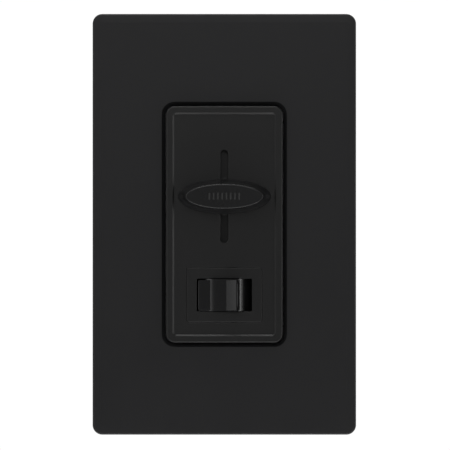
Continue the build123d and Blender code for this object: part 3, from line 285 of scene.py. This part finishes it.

# %% [markdown]
# ## The knob and its grip ribs
# Fingers polish what stands proud, so the ribs on the knob are glossier than its flat top, and
# they are painted paler as well: a painted highlight along the ribs. The ribs are the only part of the knob
# in front of its top face, so a mask from the depth, the Y of the object coordinates, finds them. It starts
# just above the flat top and reaches its full strength at the ribs' crests.

# %% Knob finish
rib_height = 0.18 * mm
rib_foot = 0.02 * mm
rib_gloss = 0.1


def ribbed_plastic(name, body, highlight_and_wear, gloss, top, grains=5000, depth=3 * micron):
    """Plastic whose ribs, in front of the top face at Y = top, are glossier and painted paler as a highlight.
    """
    material = plastic(name, body, highlight_and_wear, gloss, grains, depth)
    tree = material.node_tree
    shader = tree.nodes["Principled BSDF"]
    place = add(tree, "ShaderNodeTexCoord")
    axes = add(tree, "ShaderNodeSeparateXYZ")
    tree.links.new(place.outputs["Object"], axes.inputs["Vector"])
    ribs = remap(tree, axes.outputs["Y"], top - rib_foot, top - rib_height, 0.0, 1.0)
    plain = shader.inputs["Base Color"].links[0].from_socket
    # The ribs take the paler colour: a painted highlight along them.
    tree.links.new(colour_mix(tree, ribs, plain, highlight_and_wear), shader.inputs["Base Color"])
    rough = shader.inputs["Roughness"].links[0].from_socket
    smoother = maths(tree, "MULTIPLY", ribs, rib_gloss)
    tree.links.new(maths(tree, "SUBTRACT", rough, smoother, clamp=True), shader.inputs["Roughness"])
    return material


knob_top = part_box("slider_knob")[0][1] + rib_height
# The paler colour is a painted highlight on the ribs and wear on the knob's edges.
finishes["knob"] = ribbed_plastic(
    "knob_black", (0.0115, 0.0115, 0.012), (0.05, 0.05, 0.05), (0.24, 0.32), knob_top
)
print("the knob's top is at Y", round(knob_top / mm, 2), "mm")

# %% [markdown]
# ## Metals
# Metals differ in colour, in how rough they are and in how they tarnish. One function mixes the
# clean colour with the tarnished one by a stain mask, and lets the drawn lines vary the gloss.

# %% Metal maker
stain_roughness = 0.12


def metal(name, clean, tarnished, gloss, lines):
    """Sheet, plated or drawn metal. gloss is its smoothest and roughest roughness, and lines is how
    many drawn lines there are per metre along each axis."""
    material, tree, shader = new_material(name)
    drawn = use_group(tree, line_group, Across_X=lines[0], Across_Y=lines[1], Across_Z=lines[2])
    edges = use_group(tree, edge_group, Width=0.3 * mm)
    tint = colour_mix(tree, drawn.outputs["Stains"], clean, tarnished)
    rubbed = colour_mix(tree, edges.outputs["Edge"], tint, shade_of(clean, 1.15))
    tree.links.new(rubbed, shader.inputs["Base Color"])
    shader.inputs["Metallic"].default_value = 1.0
    lined = remap(tree, drawn.outputs["Lines"], 0.3, 0.7, gloss[0], gloss[1])
    stained = maths(tree, "MULTIPLY", drawn.outputs["Stains"], stain_roughness)
    tree.links.new(maths(tree, "ADD", lined, stained, clamp=True), shader.inputs["Roughness"])
    set_bump(tree, shader, drawn.outputs["Lines"], 3 * micron)
    return material


even = (900, 900, 900)
metals = {
    "strap": metal("rolled_aluminium", (0.60, 0.61, 0.63), (0.46, 0.47, 0.49), (0.28, 0.45), (3500, 900, 70)),
    "zinc": metal("zinc_plate", (0.52, 0.53, 0.55), (0.40, 0.39, 0.36), (0.22, 0.36), even),
    "tin": metal("tin_plate", (0.58, 0.58, 0.58), (0.46, 0.46, 0.45), (0.25, 0.42), (2500, 2500, 80)),
    "brass": metal("brass", (0.70, 0.52, 0.23), (0.50, 0.34, 0.15), (0.2, 0.36), (1500, 1500, 200)),
    "copper": metal("copper_alloy", (0.70, 0.37, 0.21), (0.45, 0.22, 0.12), (0.2, 0.36), (80, 2000, 2500)),
    "silver": metal("silver_alloy", (0.78, 0.77, 0.74), (0.5, 0.47, 0.42), (0.2, 0.34), (1200, 1200, 1200)),
    "green_screw": metal("green_plate", (0.07, 0.34, 0.14), (0.05, 0.2, 0.09), (0.24, 0.4), even),
    "enamel": metal("enamelled_wire", (0.55, 0.20, 0.07), (0.40, 0.13, 0.045), (0.16, 0.28), (500, 500, 500)),
}
finishes.update(metals)
print("metals:", sorted(metals))

# %% [markdown]
# ## Fibre, board and coatings
# Pressed fibre, paper laminate and dipped coatings have two close tones in small mottled patches,
# and their gloss changes with the grain.

# %% Other finishes
def laminate(name, light, dark, gloss, depth=10 * micron):
    """Pressed fibre, paper or coated ceramic: two tones in a mottled pattern."""
    material, tree, shader = new_material(name)
    grain = use_group(tree, grain_group, Grains_per_metre=2500.0, Patches_per_metre=700.0)
    tree.links.new(colour_mix(tree, grain.outputs["Patches"], light, dark), shader.inputs["Base Color"])
    rough = remap(tree, grain.outputs["Height"], 0.3, 0.7, gloss[0], gloss[1])
    tree.links.new(rough, shader.inputs["Roughness"])
    set_bump(tree, shader, grain.outputs["Height"], depth)
    return material


coatings = {
    "fibre": laminate("red_fibre", (0.30, 0.10, 0.05), (0.22, 0.07, 0.035), (0.6, 0.8)),
    "board": laminate("paper_laminate", (0.45, 0.29, 0.10), (0.38, 0.24, 0.08), (0.4, 0.55)),
    "core": laminate("iron_powder", (0.36, 0.33, 0.08), (0.28, 0.25, 0.06), (0.5, 0.7), 30 * micron),
    "pad": laminate("silicone_pad", (0.42, 0.44, 0.47), (0.36, 0.38, 0.41), (0.6, 0.75)),
    "film_amber": laminate("amber_epoxy", (0.50, 0.22, 0.03), (0.44, 0.18, 0.025), (0.2, 0.32)),
    "film_blue": laminate("blue_epoxy", (0.05, 0.11, 0.34), (0.04, 0.09, 0.28), (0.2, 0.32)),
    "lacquer": laminate("resistor_lacquer", (0.60, 0.46, 0.28), (0.54, 0.40, 0.24), (0.25, 0.35)),
    "glass_bead": laminate("blue_glass", (0.05, 0.13, 0.40), (0.04, 0.10, 0.32), (0.1, 0.2)),
}
finishes.update(coatings)
print("coatings:", sorted(coatings))

# %% [markdown]
# ## Printed label
# The label on the back is blank film with a printed frame and ruled lines, and no lettering. The
# lines are drawn from object coordinates: a distance from the label's middle, scaled so that its
# edge is 1, is compared with thin bands.

# %% Label print
def band(tree, value, middle, half):
    """A mask that is 1 where a value lies within half of the middle."""
    gap = maths(tree, "ABSOLUTE", maths(tree, "SUBTRACT", value, middle))
    return maths(tree, "LESS_THAN", gap, half)


frame_place = 0.88
frame_half = 0.012
rule_places = (-0.45, -0.1, 0.25, 0.6)
rule_half = 0.008


def label_print(name, low, high, paper, ink):
    """Film with a frame near its edge and rules across it."""
    material, tree, shader = new_material(name)
    place = add(tree, "ShaderNodeTexCoord")
    axes = add(tree, "ShaderNodeSeparateXYZ")
    tree.links.new(place.outputs["Object"], axes.inputs["Vector"])
    across = maths(tree, "ABSOLUTE", maths(tree, "DIVIDE", axes.outputs["X"], high[0]))
    middle, half = (low[2] + high[2]) / 2, (high[2] - low[2]) / 2
    height = maths(tree, "DIVIDE", maths(tree, "SUBTRACT", axes.outputs["Z"], middle), half)
    edge = maths(tree, "MAXIMUM", across, maths(tree, "ABSOLUTE", height))
    inked = band(tree, edge, frame_place, frame_half)
    inside = maths(tree, "LESS_THAN", edge, frame_place)
    for rule in rule_places:
        line = maths(tree, "MULTIPLY", band(tree, height, rule, rule_half), inside)
        inked = maths(tree, "MAXIMUM", inked, line)
    grain = use_group(tree, grain_group, Grains_per_metre=2500.0, Patches_per_metre=300.0)
    film = colour_mix(tree, grain.outputs["Patches"], paper, shade_of(paper, 0.93))
    tree.links.new(colour_mix(tree, inked, film, ink), shader.inputs["Base Color"])
    tree.links.new(remap(tree, grain.outputs["Height"], 0.3, 0.7, 0.38, 0.5), shader.inputs["Roughness"])
    set_bump(tree, shader, grain.outputs["Height"], 3 * micron)
    return material


label_low, label_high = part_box("rating_label")
finishes["label"] = label_print(
    "label_print", label_low, label_high, (0.5, 0.5, 0.48), (0.03, 0.03, 0.035)
)
print("label is", [round((h - l) / mm, 1) for l, h in zip(label_low, label_high)], "mm")

# %% [markdown]
# ## Which part has which finish
# A CAD node keeps its own mesh. Only the material in its slots is replaced.

# %% Assign the finishes
finish_of = {
    "cover": ["wallplate_cover"],
    "bezel": ["front_bezel", "rocker_bezel"],
    "knob": ["slider_knob"],
    "rocker": ["rocker"],
    "inner_black": ["wallplate_adapter", "slider_carriage", "switch_base", "strap_film"],
    "housing": ["back_housing"],
    "acetal": ["rocker_plunger", "pot_lever"],
    "epoxy": ["triac_body"],
    "strap": ["mounting_strap"],
    "zinc": [
        "adapter_screws",
        "box_mounting_screws",
        "triac_screw",
        "triac_nut",
        "housing_screws",
        "rocker_pivot_pins",
        "plunger_spring",
    ],
    "tin": ["pot_can", "pot_pins", "triac_tab", "triac_leads"],
    "brass": [
        "terminal_plates",
        "terminal_screws",
        "fixed_contact_left",
        "fixed_contact_right",
        "fulcrum_terminal",
    ],
    "copper": ["contact_arm", "pot_wiper_contacts"],
    "silver": ["moving_contacts"],
    "green_screw": ["ground_screw"],
    "enamel": ["choke_winding"],
    "fibre": ["screw_retaining_washers"],
    "board": ["circuit_board", "pot_track_board"],
    "core": ["choke_core"],
    "pad": ["triac_insulating_pad"],
    "film_amber": ["filter_capacitor"],
    "film_blue": ["timing_capacitors"],
    "label": ["rating_label"],
    "lacquer": ["resistors"],
    "glass_bead": ["diac"],
}
for finish, names in finish_of.items():
    for name in names:
        mesh = nodes[name].data
        mesh.materials.clear()
        mesh.materials.append(finishes[finish])
        mesh.polygons.foreach_set("material_index", np.zeros(len(mesh.polygons), dtype=np.int32))
unfinished = sorted(set(nodes) - {n for names in finish_of.values() for n in names})
print("parts still without a finish:", unfinished)

# %% [markdown]
# ## A wire wound on a ring
# The choke that filters the dimmer is enamelled copper wire wound on a ring of iron powder. The
# CAD model has a plain sleeve there. A curve with a bevel could stand for the wire, but its turns
# would need hundreds of hand-placed points, so the wire is worked out as one surface: a circle
# carried along a path. The path is a function of one number, and the circle adds the other.

# %% Tube along a path
def grid_faces(rows, columns):
    """Faces of a grid of points, rows by columns, closed round the columns: four corners each."""
    row, column = np.meshgrid(np.arange(rows - 1), np.arange(columns), indexing="ij")
    after = (column + 1) % columns
    here, ahead = row * columns, (row + 1) * columns
    corners = (here + column, here + after, ahead + after, ahead + column)
    return np.stack(corners, axis=-1).reshape(-1, 4)


def closed_rings(name, rings):
    """A mesh from rings of points, an array of rings by points by three. Neighbouring rings are
    joined by quads, and the first and the last are each closed by one flat face."""
    count, sides = rings.shape[:2]
    last = (count - 1) * sides
    ends = [list(range(sides - 1, -1, -1)), list(range(last, last + sides))]
    mesh = bpy.data.meshes.new(name)
    mesh.from_pydata(rings.reshape(-1, 3).tolist(), [], grid_faces(count, sides).tolist() + ends)
    mesh.validate()
    return mesh


def tube(name, path, side_way, radius, sides=10):
    """A round tube. Each point is path + radius * (cos a * U + sin a * V), where U is side_way
    made square to the path's direction T, and V is T cross U."""
    along = np.gradient(path, axis=0)
    along /= np.linalg.norm(along, axis=1, keepdims=True)
    across = side_way - np.sum(side_way * along, axis=1, keepdims=True) * along
    across /= np.linalg.norm(across, axis=1, keepdims=True)
    upward = np.cross(along, across)
    angle = np.linspace(0, 2 * np.pi, sides, endpoint=False)[None, :, None]
    rings = path[:, None] + radius * (np.cos(angle) * across[:, None] + np.sin(angle) * upward[:, None])
    return closed_rings(name, rings)


sharp_angle = math.radians(35)


def place_piece(mesh, body, replaced, finish):
    """Show a mesh as a smooth-shaded piece that rides on a body and stands for a CAD node."""
    piece = bpy.data.objects.new(mesh.name, mesh)
    bpy.context.scene.collection.objects.link(piece)
    mesh.materials.clear()
    mesh.materials.append(finishes[finish])
    mesh.shade_smooth()
    mesh.set_sharp_from_angle(angle=sharp_angle)
    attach(piece, body)
    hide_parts(replaced)
    print(mesh.name, "has", len(mesh.polygons), "faces")


# %% The choke's winding
ring_low, ring_high = (np.array(corner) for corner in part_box("choke_core"))
sleeve_low, sleeve_high = (np.array(corner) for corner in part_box("choke_winding"))
ring_centre = (ring_low + ring_high) / 2
ring_outer = (ring_high[0] - ring_low[0]) / 2
ring_wall = 4.0 * mm
ring_middle = ring_outer - ring_wall / 2
wire_radius = (sleeve_high[0] - ring_high[0]) / 2
half_width = ring_wall / 2 + wire_radius
half_depth = (ring_high[1] - ring_low[1]) / 2 + wire_radius
lead_up = 6.5 * mm
lead_left = 3.0 * mm
lead_way = math.atan2(lead_up, -lead_left)
lead_radius = math.hypot(lead_up, lead_left)
lead_start = 1.0 * mm
lead_steps = 6
section_power = 2 / 7


def ring_point(way, radius, depth):
    """The point at an angle round the ring's axis, at a radius and a depth."""
    return ring_centre + np.stack([radius * np.cos(way), depth, radius * np.sin(way)], axis=-1)


def winding_path(turns, steps):
    """The wire goes round the ring while it goes round the ring's section, a rounded oblong:
    each coordinate is its half size times the cosine or sine to the power 2/7, sign kept."""
    part = np.linspace(0, 1, turns * steps + 1)
    way = lead_way * (1 - 2 * part)
    turn = 2 * np.pi * turns * part - np.pi / 2
    out = half_width * np.sign(np.cos(turn)) * np.abs(np.cos(turn)) ** section_power
    deep = half_depth * np.sign(np.sin(turn)) * np.abs(np.sin(turn)) ** section_power
    wound = ring_point(way, ring_middle + out, deep)
    drop = np.linspace(sleeve_low[1] - ring_centre[1], -half_depth - lead_start, lead_steps)
    level = np.ones_like(drop)
    first = ring_point(lead_way * level, lead_radius * level, drop)
    last = ring_point(-lead_way * level, lead_radius * level, drop[::-1])
    ways = np.concatenate([lead_way * level, way, -lead_way * level])
    round_the_ring = np.stack([-np.sin(ways), 0 * ways, np.cos(ways)], axis=-1)
    return np.concatenate([first, wound, last]), round_the_ring


wire_path, round_the_ring = winding_path(turns=17, steps=44)
choke_wire = tube("choke_wire", wire_path, round_the_ring, wire_radius)
place_piece(choke_wire, "switch_case", "choke_winding", "enamel")
print("wire is", round(2 * wire_radius / mm, 2), "mm thick")

# %% [markdown]
# ## Screw threads
# A rolled thread is one ridge that climbs the shaft by its pitch at each turn. Its surface is a
# function of the angle and the height: the radius depends only on how far the height is past the
# ridge, which is height / pitch - angle / one turn, without its whole part. The head keeps its CAD
# shape, so a copy of the CAD mesh is merged, cut off below the head, closed and joined to the
# threaded shaft.

# %% Threaded screws
thread_pitch = 0.794 * mm
rows_per_turn = 9
ridge_crest = 1.25
ridge_flank = 2.9
tip_slope = 1.2


def thread_mesh(name, foot, way, length, major, depth, sides=36):
    """A threaded shaft from foot along the axis number way. Radius is major minus depth times
    the distance from the ridge, and it shrinks towards the tip as a cone."""
    height = np.linspace(0, length, int(abs(length) / thread_pitch * rows_per_turn) + 1)
    angle = np.linspace(0, 2 * np.pi, sides, endpoint=False)
    climb, turn = np.meshgrid(np.abs(height), angle, indexing="ij")
    phase = (climb / thread_pitch - turn / (2 * np.pi)) % 1.0
    ridge = np.clip(ridge_crest - ridge_flank * np.abs(phase - 0.5), 0, 1)
    radius = major - depth + depth * ridge
    radius = np.minimum(radius, major - depth + np.maximum(0, abs(length) - climb) * tip_slope)
    points = np.empty((*climb.shape, 3))
    first, second = (way + 1) % 3, (way + 2) % 3
    points[..., way] = np.sign(length) * climb
    points[..., first] = radius * np.cos(turn)
    points[..., second] = radius * np.sin(turn) * np.sign(length)
    return closed_rings(name, points + np.array(foot))


merge_distance = 2 * micron
overlap = 0.05 * mm
y_axis, z_axis = 1, 2


def threaded_screws(node, name, way, cut, shafts):
    """A copy of a node's heads, cut off at a height along an axis, with threaded shafts added."""
    work = bmesh.new()
    work.from_mesh(nodes[node].data)
    bmesh.ops.remove_doubles(work, verts=work.verts, dist=merge_distance)
    cut_point = [0.0, 0.0, 0.0]
    cut_point[way] = cut
    shaft_way = [0.0, 0.0, 0.0]
    shaft_way[way] = math.copysign(1.0, shafts[0]["length"])
    everything = work.verts[:] + work.edges[:] + work.faces[:]
    bmesh.ops.bisect_plane(work, geom=everything, plane_co=cut_point, plane_no=shaft_way, clear_outer=True)
    rims = [edge for edge in work.edges if edge.is_boundary]
    bmesh.ops.holes_fill(work, edges=rims)
    for shaft in shafts:
        work.from_mesh(thread_mesh(name + "_shaft", way=way, **shaft))
    mesh = bpy.data.meshes.new(name)
    work.to_mesh(mesh)
    work.free()
    return mesh


low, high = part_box("box_mounting_screws")
neck = 0.3 * mm
screw_places = 41.65 * mm
shafts = [
    dict(foot=(0, neck, side * screw_places), length=high[1] - neck, major=1.75 * mm, depth=0.42 * mm)
    for side in (-1, 1)
]
box_screws = threaded_screws("box_mounting_screws", "threaded_box_screws", y_axis, neck + overlap, shafts)
place_piece(box_screws, "switch_case", "box_mounting_screws", "zinc")

low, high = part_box("ground_screw")
head_height = 2.05 * mm
under_head = low[2] + head_height
middle = ((low[0] + high[0]) / 2, (low[1] + high[1]) / 2, under_head)
shafts = [dict(foot=middle, length=high[2] - under_head, major=1.95 * mm, depth=0.45 * mm)]
ground = threaded_screws("ground_screw", "threaded_ground_screw", z_axis, under_head + overlap, shafts)
place_piece(ground, "switch_case", "ground_screw", "green_screw")

# %% [markdown]
# ## Studio
# The floor and the air around the object are white to the camera but dim to everything else, so a
# black object has a clean white ground without being flooded with light. The Light Path node makes
# that difference. The dimmer is held by its wall, so the floor lies well below it, which also
# leaves room for a light from underneath.

# %% Floor and world
def white_to_camera(tree, plain, white, output):
    """Show the white shader to the camera and the plain one to every other ray."""
    path = add(tree, "ShaderNodeLightPath")
    choose = add(tree, "ShaderNodeMixShader")
    tree.links.new(path.outputs["Is Camera Ray"], choose.inputs["Fac"])
    tree.links.new(plain, choose.inputs[1])
    tree.links.new(white, choose.inputs[2])
    tree.links.new(choose.outputs["Shader"], output.inputs["Surface"])


ground_white = {"Color": (1, 1, 1, 1), "Strength": 1.02}
floor_z = -0.35
reach = 4
floor_corners = [
    (side_x * reach, side_y * reach, floor_z) for side_x, side_y in ((-1, -1), (1, -1), (1, 1), (-1, 1))
]
floor_mesh = bpy.data.meshes.new("floor")
floor_mesh.from_pydata(floor_corners, [], [(0, 1, 2, 3)])
floor = bpy.data.objects.new("floor", floor_mesh)
bpy.context.scene.collection.objects.link(floor)

floor_material, tree, shader = new_material("studio_floor")
grain = use_group(tree, grain_group, Grains_per_metre=400.0, Patches_per_metre=3.0)
paint = colour_mix(tree, grain.outputs["Patches"], (0.86, 0.86, 0.86), (0.84, 0.84, 0.85))
tree.links.new(paint, shader.inputs["Base Color"])
shader.inputs["Roughness"].default_value = 0.7
glow = add(tree, "ShaderNodeEmission", ground_white)
white_to_camera(tree, shader.outputs["BSDF"], glow.outputs["Emission"], tree.nodes["Material Output"])
floor_mesh.materials.append(floor_material)

world = bpy.data.worlds.new("studio")
bpy.context.scene.world = world
world.use_nodes = True
tree = world.node_tree
dim = tree.nodes["Background"]
dim.inputs["Color"].default_value = (1, 1, 1, 1)
dim.inputs["Strength"].default_value = 0.13
sky = add(tree, "ShaderNodeBackground", ground_white)
white_to_camera(tree, dim.outputs["Background"], sky.outputs["Background"], tree.nodes["World Output"])
bpy.context.scene.view_settings.view_transform = "Standard"
bpy.context.scene.view_settings.look = "None"
print("floor at", round(floor_z, 4), "m")

# %% [markdown]
# ## Lights
# Black plastic shows its shape by what it reflects. The soft panels on the left are the key: the
# high one lights the upper left edges and the far one the raised half of the rocker. Two wide
# panels in front and above keep the flat faces an even dark grey. The small ones give narrow
# glints, and the grazing ones stand almost in the plane of the wall, so they reach only the edges.
# A panel behind the wall plate serves the views from the back.

# %% Lights
def softbox(name, place, size, power):
    """A rectangular area light at a place, pointed at the dimmer."""
    data = bpy.data.lights.new(name, "AREA")
    data.shape = "RECTANGLE"
    data.size, data.size_y = size
    data.energy = power
    lamp = bpy.data.objects.new(name, data)
    lamp.location = place
    lamp.rotation_euler = (-Vector(place)).to_track_quat("-Z", "Y").to_euler()
    bpy.context.scene.collection.objects.link(lamp)


softbox("left_up", (-0.6, -0.6, 0.6), (0.5, 0.5), 1.0)
softbox("left_far", (-0.9, -0.5, 0.1), (0.4, 0.9), 1.35)
softbox("front_top", (0, -0.95, 0.35), (0.5, 0.2), 0.45)
softbox("top_front", (0, -0.8, 0.6), (0.8, 0.3), 0.38)
softbox("small_top", (-0.05, -0.3, 0.6), (0.3, 0.05), 0.3)
softbox("small_right", (0.5, -0.25, 0), (0.05, 0.3), 0.27)
softbox("graze_top", (0, -0.12, 0.6), (0.5, 0.08), 0.6)
softbox("graze_right", (0.6, -0.12, 0), (0.08, 0.5), 0.3)
softbox("graze_low", (0, -0.12, -0.32), (0.5, 0.08), 0.38)
softbox("back_fill", (0.5, 0.9, 0.6), (0.6, 0.6), 5.0)
